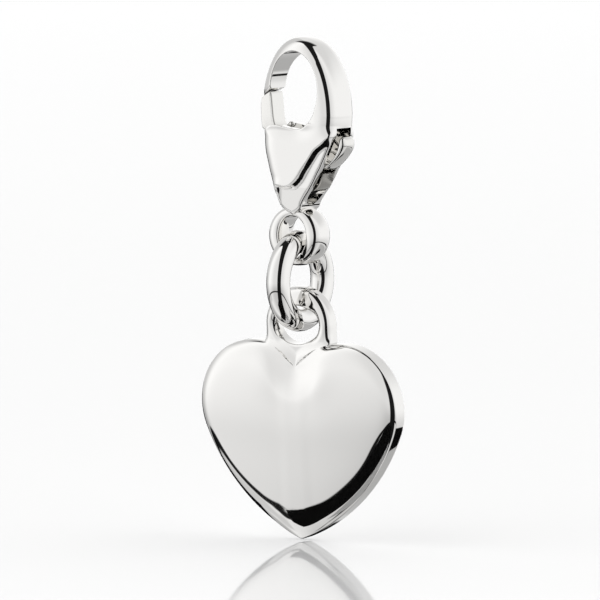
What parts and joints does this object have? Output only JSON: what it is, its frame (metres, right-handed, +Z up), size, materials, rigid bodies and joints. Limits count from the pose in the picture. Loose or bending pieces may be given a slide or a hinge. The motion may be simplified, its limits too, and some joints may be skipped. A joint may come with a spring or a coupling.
{
  "type": "heart charm",
  "caption": "Polished silver heart pendant on a round link ring, hanging from a lobster clasp that clips to a bracelet or chain.",
  "frame": {"origin": "top of the opening inside the clasp's hook, where the charm hangs from a bracelet or chain", "axes": "+Z up, the domed front of the heart faces -Y, the clasp's gate is on the -X side and its thumb tab on the +X side"},
  "size_m": [0.014, 0.006, 0.0299],
  "materials": {
    "polished_silver": "mirror polish",
    "cast_silver": "bright cast, barrel polished",
    "spring_steel": "rolled strip"
  },
  "bodies": {
    "clasp": {"clasp_body": "polished_silver", "clasp_pin": "cast_silver", "clasp_spring": "spring_steel"},
    "lever": {"clasp_lever": "cast_silver"},
    "ring": {"link_ring": "polished_silver"},
    "heart": {"heart": "polished_silver"}
  },
  "joints": [
    {"name": "lever_pivot", "type": "hinge", "parent": "clasp", "child": "lever", "pos_m": [0.00035, 0, -0.00675], "axis": [0, 1, 0], "range_deg": [0, 22], "stiffness_Nm_per_rad": 0.006, "springref_deg": -20.05, "deforming": ["clasp_spring"]},
    {"name": "ring_swing", "type": "hinge", "parent": "clasp", "child": "ring", "pos_m": [0, 0, -0.01364], "axis": [1, 0, 0], "range_deg": [-60, 60]},
    {"name": "heart_swing", "type": "hinge", "parent": "ring", "child": "heart", "pos_m": [0, 0, -0.01597], "axis": [0, 1, 0], "range_deg": [-40, 40]}
  ]
}
